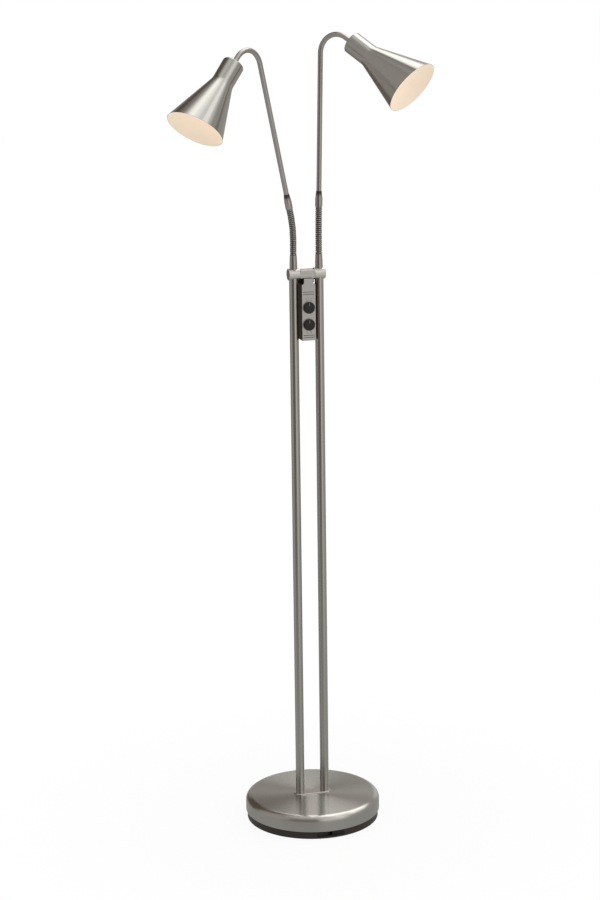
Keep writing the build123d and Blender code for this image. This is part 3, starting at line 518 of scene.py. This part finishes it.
# ---- shapes ----
def rounded(corners):
    """A line through (across, along, radius) corners. A corner that has a radius becomes an arc."""
    points = []
    for index, (across, along, radius) in enumerate(corners):
        corner = Vector((across, along))
        if not radius:
            points.append(corner)
            continue
        back = (Vector(corners[index - 1][:2]) - corner).normalized()
        ahead = (Vector(corners[(index + 1) % len(corners)][:2]) - corner).normalized()
        turn = pi - back.angle(ahead)
        middle = corner + (back + ahead).normalized() * (radius / cos(turn / 2))
        start = corner + back * (radius * tan(turn / 2))
        spoke = start - middle
        way = 1 if back.x * ahead.y - back.y * ahead.x < 0 else -1
        steps = max(2, ceil(turn / ARC_STEP))
        for step in range(steps + 1):
            angle = way * turn * step / steps
            swung = (spoke.x * cos(angle) - spoke.y * sin(angle), spoke.x * sin(angle) + spoke.y * cos(angle))
            points.append(middle + Vector(swung))
    return [(point.x, point.y) for point in points]


def lathe(outline, facets, warp=None):
    """Points and faces of a (radius, height) outline turned about Z. Its ends meet, on the axis or off it."""
    points, faces, rings = [], [], []
    for radius, height in outline:
        ring = []
        if radius < ON_AXIS:
            ring = [len(points)] * facets
            points.append((0.0, 0.0, height))
        else:
            for facet in range(facets):
                angle = 2 * pi * facet / facets
                across, along = warp(radius, height, angle) if warp else (radius, height)
                ring.append(len(points))
                points.append((across * cos(angle), across * sin(angle), along))
        rings.append(ring)
    pairs = list(zip(rings, rings[1:]))
    if outline[0][0] > ON_AXIS:
        pairs.append((rings[-1], rings[0]))
    for ring, following in pairs:
        for facet in range(facets):
            after = (facet + 1) % facets
            # a corner that is there twice, on the axis, counts once
            face = list(dict.fromkeys([ring[facet], ring[after], following[after], following[facet]]))
            if len(face) > 2:
                faces.append(face)
    return points, faces


def sweep(path, radius, facets):
    """A closed round bar along a smooth path of points."""
    points, faces = [], []
    aside = (path[1] - path[0]).orthogonal().normalized()
    for index, point in enumerate(path):
        along = (path[min(index + 1, len(path) - 1)] - path[max(index - 1, 0)]).normalized()
        aside = (aside - along * aside.dot(along)).normalized()
        upward = along.cross(aside)
        for facet in range(facets):
            angle = 2 * pi * facet / facets
            points.append(point + (aside * cos(angle) + upward * sin(angle)) * radius)
    for index in range(len(path) - 1):
        low, high = index * facets, (index + 1) * facets
        for facet in range(facets):
            after = (facet + 1) % facets
            faces.append([low + facet, low + after, high + after, high + facet])
    faces.append(list(reversed(range(facets))))
    faces.append(list(range((len(path) - 1) * facets, len(path) * facets)))
    return points, faces


def piece(name, shape, finish_key, body, place=Matrix.Identity(4), replaces=()):
    """A new piece of the lamp, in its own place, riding on a body, in place of the nodes it replaces."""
    points, faces = shape
    mesh = bpy.data.meshes.new(name)
    mesh.from_pydata([tuple(point) for point in points], [], faces)
    mesh.polygons.foreach_set("use_smooth", [True] * len(mesh.polygons))
    mesh.materials.append(FINISHES[finish_key])
    mesh.update()
    make_outward(mesh)
    mesh.set_sharp_from_angle(angle=SHARP_ANGLE)
    made = bpy.data.objects.new(name, mesh)
    bpy.context.scene.collection.objects.link(made)
    made.matrix_world = place
    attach(made, body)
    if replaces:
        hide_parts(*replaces)


def make_outward(mesh):
    """Turns a closed mesh's faces outwards."""
    volume = 0.0
    for face in mesh.polygons:
        corners = [mesh.vertices[index].co for index in face.vertices]
        for second, third in zip(corners[1:], corners[2:]):
            volume += corners[0].dot(second.cross(third))
    if volume < 0:
        mesh.flip_normals()


def middle_of(node):
    """The middle of a CAD node's surface, each face counted by its area."""
    mesh = frame["nodes"][node].data
    total = sum(face.area for face in mesh.polygons)
    return sum((face.center * face.area for face in mesh.polygons), Vector()) / total


def frame_from(origin, upward, sideways):
    """A place whose own Z is upward and whose own X is as near sideways as it can be."""
    z = upward.normalized()
    x = (sideways - z * sideways.dot(z)).normalized()
    y = z.cross(x)
    place = Matrix((x, y, z)).transposed().to_4x4()
    place.translation = origin
    return place


# ---- base and uprights ----
def make_base():
    """The spun cover, a thin shell with a rounded shoulder."""
    low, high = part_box("base_cover")
    inner = high.x - COVER_SHEET
    outline = rounded([
        (0, high.z, 0), (high.x, high.z, COVER_EDGE), (high.x, low.z, COVER_HEM), (inner, low.z, COVER_HEM),
        (inner, high.z - COVER_SHEET, COVER_EDGE - COVER_SHEET), (0, high.z - COVER_SHEET, 0)])
    piece("spun_cover", lathe(outline, COVER_FACETS), "base_steel", "lamp_stand",
          replaces=["base_cover"])


def make_uprights():
    """Two open tubes with their cut edges broken."""
    for side in SIDES:
        node = f"{side}_upright"
        low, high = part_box(node)
        outer = (high.x - low.x) / 2
        inner = outer - UPRIGHT_WALL
        tall = high.z - low.z
        outline = rounded([
            (across, along, UPRIGHT_EDGE)
            for across, along in ((outer, 0), (outer, tall), (inner, tall), (inner, 0))])
        place = Matrix.Translation(((low.x + high.x) / 2, (low.y + high.y) / 2, low.z))
        piece(f"{side}_upright_tube", lathe(outline, UPRIGHT_FACETS), "upright_nickel", "lamp_stand",
              place, [node])


# ---- dimmer box ----
# The dashes round each knob: distance from its middle in millimetres, and the angles where a dash starts and
# ends, in degrees from straight up.
DIAL_MARKS = {
    "upper": ((13.4, -24, -10), (13.4, 12, 26), (16.8, -22, -12), (16.8, -6, 2), (16.8, 10, 22)),
    "lower": ((13.0, 158, 170), (13.0, 188, 204), (15.4, 160, 172), (15.4, 184, 200)),
}


def dash(points, faces, middle, reach, start, end):
    """Adds one printed dash, a thin bar bent along an arc about a knob."""
    half, thick = DASH_HALF_WIDTH, DASH_THICKNESS
    first = len(points)
    for step in range(DASH_STEPS + 1):
        angle = radians(start + (end - start) * step / DASH_STEPS)
        for off, front in ((-half, 0), (half, 0), (half, thick), (-half, thick)):
            far = reach + off
            points.append(middle + Vector((far * sin(angle), -front, far * cos(angle))))
    for step in range(DASH_STEPS):
        low = first + 4 * step
        for corner in range(4):
            after = (corner + 1) % 4
            faces.append([low + corner, low + after, low + 4 + after, low + 4 + corner])
    last = first + 4 * DASH_STEPS
    faces += [[first + 3, first + 2, first + 1, first], [last, last + 1, last + 2, last + 3]]


def make_plate_marks():
    """Short printed dashes round the two knobs, which tell how far each dimmer is turned."""
    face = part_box("front_plate")[0].y
    for knob, marks in DIAL_MARKS.items():
        points, faces = [], []
        low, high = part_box(f"{knob}_knob")
        middle = Vector(((low.x + high.x) / 2, face, (low.z + high.z) / 2))
        for reach, start, end in marks:
            dash(points, faces, middle, reach * MM, start, end)
        piece(f"{knob}_dial_marks", (points, faces), "mark_ink", "lamp_stand")


# ---- flexible necks ----
def hinge_points(side):
    """The middles of the neck's balls, from the lowest up."""
    places = {joint["name"]: Vector(joint["pos_m"]) for joint in frame["joints"]}
    return [places[f"{side}_neck_{way}_{turn}"] for turn in range(1, 5) for way in ("side", "fore")]


def ball_arc(middle, radius, start, end):
    """Points on a circle about a height on the axis, from one angle above the level to another."""
    angles = [start + (end - start) * step / BALL_STEPS for step in range(BALL_STEPS + 1)]
    return [(radius * cos(angle), middle + radius * sin(angle)) for angle in angles]


def ribs(low, count):
    """The outside of a ribbed length, upwards from its lowest rib."""
    line = []
    for index in range(count):
        foot = low + index * RIB_PITCH
        for share, fall in RIB_OUTLINE:
            line.append((RIB_RADIUS - (RIB_RADIUS - RIB_ROOT) * fall, foot + RIB_WIDTH * share))
    return line


def socket_line():
    """The hollow for a ball at height 0, from the bore down to the socket's lip."""
    return ball_arc(0, SOCKET_RADIUS, acos(NECK_BORE / SOCKET_RADIUS), -asin(SOCKET_LIP / SOCKET_RADIUS))


def ball_line(middle, shoulder):
    """The ball on top of a link, from its shoulder up to the bore."""
    start = asin((shoulder - middle) / BALL_RADIUS)
    return ball_arc(middle, BALL_RADIUS, start, acos(NECK_BORE / BALL_RADIUS))


def make_links(side):
    """The seven ribbed links of a neck, each a socket below and a ball above."""
    hinges = hinge_points(side)
    link = [*socket_line(), *ribs(-SOCKET_LIP, RIBS_PER_LINK), *ball_line(LINK_PITCH, LINK_SHOULDER)]
    for number, (middle, above) in enumerate(zip(hinges, hinges[1:]), start=1):
        place = frame_from(middle, above - middle, Vector((1, 0, 0)))
        piece(f"{side}_ribbed_link_{number}", lathe(link, NECK_FACETS), "neck_nickel",
              f"{side}_link_{number}", place, [f"{side}_neck_link_{number}"])


def make_neck_foot(side):
    """The turned foot of a neck: a plug in the upright, a grooved ferrule, one rib and the first ball."""
    low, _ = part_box(f"{side}_neck_base")
    clamp = low.z + PLUG_LENGTH
    cut = clamp + FERRULE_GROOVE
    groove_radius = FERRULE_RADIUS - GROOVE_CUT
    ferrule_top = clamp + FERRULE_LENGTH
    ball = hinge_points(side)[0]
    first_rib = ball.z - LINK_PITCH + LINK_SHOULDER - RIB_WIDTH
    foot = rounded([
        (NECK_BORE, low.z, 0), (PLUG_RADIUS, low.z, PLUG_EDGE), (PLUG_RADIUS, clamp, 0),
        (FERRULE_RADIUS, clamp, 0), (FERRULE_RADIUS, cut - GROOVE_MOUTH, 0),
        (groove_radius, cut - GROOVE_FLOOR, 0), (groove_radius, cut + GROOVE_FLOOR, 0),
        (FERRULE_RADIUS, cut + GROOVE_MOUTH, 0), (FERRULE_TOP_RADIUS, ferrule_top, FERRULE_EDGE),
        (RIB_ROOT, ferrule_top, 0)])
    foot += [*ribs(first_rib, 1), *ball_line(ball.z, first_rib + RIB_WIDTH)]
    shape = lathe([(radius, height - low.z) for radius, height in foot], NECK_FACETS)
    place = Matrix.Translation((ball.x, ball.y, low.z))
    piece(f"{side}_neck_foot", shape, "neck_nickel", "lamp_stand", place,
          [f"{side}_neck_base"])


def make_neck_head(side):
    """The head of a neck: the last socket, two ribs, and a ferrule that tapers to the arm's tube."""
    last = hinge_points(side)[-1]
    up = (middle_of(f"{side}_neck_top") - last).normalized()
    rim = LINK_PITCH / 2
    top = rim + HEAD_LENGTH
    seat = ARM_RADIUS + ARM_SEAT_PLAY
    head = [*socket_line(), *ribs(-SOCKET_LIP, HEAD_RIBS), (RIB_ROOT, rim)]
    head += rounded([
        (HEAD_RADIUS, rim, HEAD_EDGE), (HEAD_RADIUS, top, 0), (HEAD_END_RADIUS, top + HEAD_TAPER, 0),
        (seat, top + HEAD_TAPER, 0), (seat, top - ARM_SEAT, 0), (NECK_BORE, top - ARM_SEAT, 0)])
    piece(f"{side}_neck_head", lathe(head, NECK_FACETS), "neck_nickel", f"{side}_arm",
          frame_from(last, up, Vector((1, 0, 0))), [f"{side}_neck_top"])


# ---- arms and shades ----
def shade_place(side):
    """The shade's frame: the origin on its cap, +Z down its axis and +X towards the arm's foot."""
    holder = middle_of(f"{side}_lamp_holder")
    axis = (middle_of(f"{side}_bulb_glass") - holder).normalized()
    cap = min((vertex.co - holder).dot(axis) for vertex in frame["nodes"][f"{side}_shade"].data.vertices)
    foot = middle_of(f"{side}_neck_top")
    origin = holder + axis * cap
    return frame_from(origin, axis, foot - origin)


def hook_path(side):
    """The arm tube's middle line, from inside the neck's ferrule to inside the shade."""
    cap = shade_place(side)
    origin, down = cap.translation, cap.to_3x3() @ Vector((0, 0, 1))
    foot = hinge_points(side)[-1]
    up = (middle_of(f"{side}_neck_top") - foot).normalized()
    # the corner where the tube's straight line meets the shade's axis
    gap = origin - foot
    slant = up.dot(down)
    rise = (gap.dot(up) - gap.dot(down) * slant) / (1 - slant * slant)
    corner = foot + up * rise
    reach = HOOK_RADIUS * tan(acos(slant) / 2)
    start, end = corner - up * reach, corner + down * reach
    centre = start + (down - up * slant).normalized() * HOOK_RADIUS
    top = max((vertex.co - foot).dot(up) for vertex in frame["nodes"][f"{side}_neck_top"].data.vertices)
    path = [foot + up * (top - ARM_HIDDEN)]
    path += [path[0].lerp(start, step / STRAIGHT_STEPS) for step in range(1, STRAIGHT_STEPS)]
    turn = acos(slant)
    spoke, onward = start - centre, up * HOOK_RADIUS
    path += [centre + spoke * cos(turn * step / HOOK_STEPS) + onward * sin(turn * step / HOOK_STEPS)
             for step in range(HOOK_STEPS + 1)]
    path += [end.lerp(origin + down * ARM_HIDDEN, step / END_STEPS) for step in range(1, END_STEPS + 1)]
    return path


def make_arm(side):
    """The tube that goes up from the neck and hooks over into the shade."""
    tube = sweep(hook_path(side), ARM_RADIUS, TUBE_FACETS)
    piece(f"{side}_hooked_tube", tube, "tube_nickel", f"{side}_arm",
          replaces=[f"{side}_arm_tube"])


def slanted(radius, height, angle):
    """Draws the cone's points along its slope, so that its rim lies in a plane that leans to the arm."""
    start = SHADE_NECK_LENGTH + SHADE_BEND
    if height <= start:
        return radius, height
    lean = tan(RIM_SLANT) * cos(angle)
    rim = (SHADE_LENGTH - lean * (SHADE_RIM_RADIUS - SHADE_SLOPE * SHADE_LENGTH)) / (1 + lean * SHADE_SLOPE)
    moved = start + (height - start) * (rim - start) / (SHADE_LENGTH - start)
    return radius + SHADE_SLOPE * (moved - height), moved


def shade_wall(inset):
    """The shade's wall from the cap's middle to the rim, so far inside its outer face."""
    edge = max(SHADE_CAP_EDGE - inset, SHADE_INNER_EDGE)
    neck = SHADE_NECK_RADIUS - inset
    line = rounded([
        (0, inset, 0), (neck, inset, edge), (neck, SHADE_NECK_LENGTH, SHADE_BEND),
        (SHADE_RIM_RADIUS - inset, SHADE_LENGTH, 0)])
    end = line.pop()
    start = line[-1]
    for step in range(1, CONE_STEPS + 1):
        share = step / CONE_STEPS
        line.append((start[0] + (end[0] - start[0]) * share, start[1] + (end[1] - start[1]) * share))
    return line


def shade_layer(outer, inner):
    """One layer of the shade's wall, between two depths below its outer face."""
    hole = ARM_RADIUS + ARM_HOLE_PLAY
    outline = [(hole, outer), *shade_wall(outer)[1:], *reversed(shade_wall(inner)[1:]), (hole, inner)]
    return lathe(outline, SHADE_FACETS, slanted)


def make_shade(side):
    """The spun metal shade, and the enamel inside it."""
    place = shade_place(side)
    body = f"{side}_arm"
    metal = shade_layer(0, SHADE_METAL)
    enamel_coat = shade_layer(SHADE_METAL, SHADE_METAL + SHADE_ENAMEL)
    piece(f"{side}_shade_spinning", metal, "shade_nickel", body, place, [f"{side}_shade"])
    piece(f"{side}_shade_enamel", enamel_coat, "enamel", body, place)


# ---- studio ----
WHITE = opaque((1.0, 1.0, 1.0))
PAPER_WHITE = opaque((0.88, 0.88, 0.88))
PAPER_GLOW_COLOUR = opaque((1.0, 0.98, 0.94))


def make_floor():
    """White paper: the camera sees it white, and the metal sees it fade into the room away from the lamp."""
    half = PAPER_REACH
    corners = [(-half, -half, 0), (half, -half, 0), (half, half, 0), (-half, half, 0)]
    mesh = bpy.data.meshes.new("studio_floor")
    mesh.from_pydata(corners, [], [(0, 1, 2, 3)])
    material = bpy.data.materials.new("studio_paper")
    material.use_nodes = True
    sheet = Sheet(material.node_tree)
    x, y, _ = sheet.split(sheet.place())
    away = (x * x + y * y) ** 0.5
    near = 1 / (1 + (away / PAPER_FADE) ** 2)
    shadow = PAPER_SHADOW * (1 - ((away - SHADOW_START) / SHADOW_FADE).clamped())
    paper = sheet.node("ShaderNodeBsdfDiffuse", {}, {"Color": PAPER_WHITE, "Roughness": 0.0})[0]
    white = sheet.node("ShaderNodeEmission", {}, {"Color": WHITE, "Strength": 1.0})[0]
    to_camera = sheet.node("ShaderNodeMixShader", {}, {0: shadow, 1: white, 2: paper})[0]
    glow = sheet.node("ShaderNodeEmission", {}, {"Color": PAPER_GLOW_COLOUR, "Strength": PAPER_GLOW})[0]
    clear = sheet.node("ShaderNodeBsdfTransparent", {}, {})[0]
    to_metal = sheet.node("ShaderNodeMixShader", {}, {0: near, 1: clear, 2: glow})[0]
    seen = sheet.camera_ray()
    lit = sheet.node("ShaderNodeMixShader", {}, {0: seen, 1: to_metal, 2: to_camera})[0]
    sheet.node("ShaderNodeOutputMaterial", {}, {"Surface": lit})
    mesh.materials.append(material)
    floor = bpy.data.objects.new("studio_floor", mesh)
    bpy.context.scene.collection.objects.link(floor)


# The studio round the lamp. Each light or dark panel is given by where it hangs, as turned from the camera's
# direction and above the level in degrees, by how far it reaches each way, and by how much light it adds.
ROOM_LIGHT = 0.42
ROOM_DARK = 0.10                  # the least light from anywhere
PANELS = {
    "broad light behind on the right": ((158.0, 60.0), (44.0, 27.0), 1.75),
    "wing of that light": ((88.0, 54.0), (46.0, 26.0), 0.5),
    "small lamp on the right": ((100.0, 48.0), (8.0, 8.0), 1.2),
    "ceiling": ((0.0, 90.0), (180.0, 28.0), 0.4),
    "window in front": ((38.0, 34.0), (32.0, 28.0), 0.45),
    "pale desk in front": ((34.0, -12.0), (24.0, 20.0), 0.28),
    "pale floor": ((14.0, -45.0), (60.0, 26.0), 0.12),
    "pale wall behind": ((176.0, 9.0), (34.0, 17.0), 0.30),
    "dark curtain behind on the left": ((-146.0, 40.0), (46.0, 48.0), -0.35),
    "dark corner behind on the left": ((-142.0, -12.0), (26.0, 22.0), -0.32),
    "dark stand of the camera": ((-20.0, -12.0), (36.0, 20.0), -0.40),
    "dark camera on it": ((-12.0, 22.0), (34.0, 18.0), -0.24),
}
DARK_TINT = (1.28, 1.0, 0.80)     # the room's dark parts are browner than its lights
LIGHT_TINT = (1.0, 0.985, 0.95)
TINT_GAIN = 2                     # light of one over this, or more, has the light tint


def make_world():
    """A soft studio: panels round the lamp for its metal, white behind it for the camera's own rays."""
    world = bpy.data.worlds.new("studio")
    bpy.context.scene.world = world
    world.use_nodes = True
    sheet = Sheet(world.node_tree)
    direction = sheet.node("ShaderNodeTexCoord")[0]
    x, y, z = sheet.split(direction)
    height = z.maths("ARCSINE", z)
    light = ROOM_LIGHT
    for (turn, rise), (half_width, half_height), level in PANELS.values():
        around = radians(turn) - CAMERA_YAW
        out_x, out_y = sin(around), -cos(around)
        ahead = x * out_x + y * out_y
        aside = x * -out_y + y * out_x
        swing = aside.maths("ARCTAN2", aside, ahead)
        across = sheet.window(swing, 0.0, radians(half_width))
        upward = sheet.window(height, radians(rise), radians(half_height))
        light = light + across * upward * level
    light = light.maths("MAXIMUM", light, ROOM_DARK)
    seen = sheet.camera_ray()
    tint = sheet.mix((light * TINT_GAIN).clamped(), opaque(DARK_TINT), opaque(LIGHT_TINT))
    colour = sheet.mix(seen, tint, WHITE)
    strength = light * (1 - seen) + seen
    background = sheet.node("ShaderNodeBackground", {}, {"Color": colour, "Strength": strength})[0]
    sheet.node("ShaderNodeOutputWorld", {}, {"Surface": background})


def make_camera():
    """The photo's viewpoint."""
    ahead = cos(CAMERA_PITCH)
    forward = Vector((sin(CAMERA_YAW) * ahead, cos(CAMERA_YAW) * ahead, -sin(CAMERA_PITCH)))
    level = Vector((cos(CAMERA_YAW), -sin(CAMERA_YAW), 0))
    upright = level.cross(forward)
    right = level * cos(CAMERA_ROLL) - upright * sin(CAMERA_ROLL)
    up = level * sin(CAMERA_ROLL) + upright * cos(CAMERA_ROLL)
    data = bpy.data.cameras.new("camera")
    data.lens = CAMERA_LENS
    data.sensor_width = CAMERA_SENSOR
    camera = bpy.data.objects.new("camera", data)
    facing = Matrix((right, up, -forward)).transposed().to_4x4()
    camera.matrix_world = Matrix.Translation(CAMERA_PLACE) @ facing
    bpy.context.scene.collection.objects.link(camera)
    bpy.context.scene.camera = camera


bpy.context.scene.view_settings.view_transform = "Standard"
dress_frame()
make_base()
make_uprights()
make_plate_marks()
for side in SIDES:
    make_links(side)
    make_neck_foot(side)
    make_neck_head(side)
    make_arm(side)
    make_shade(side)
make_floor()
make_world()
make_camera()
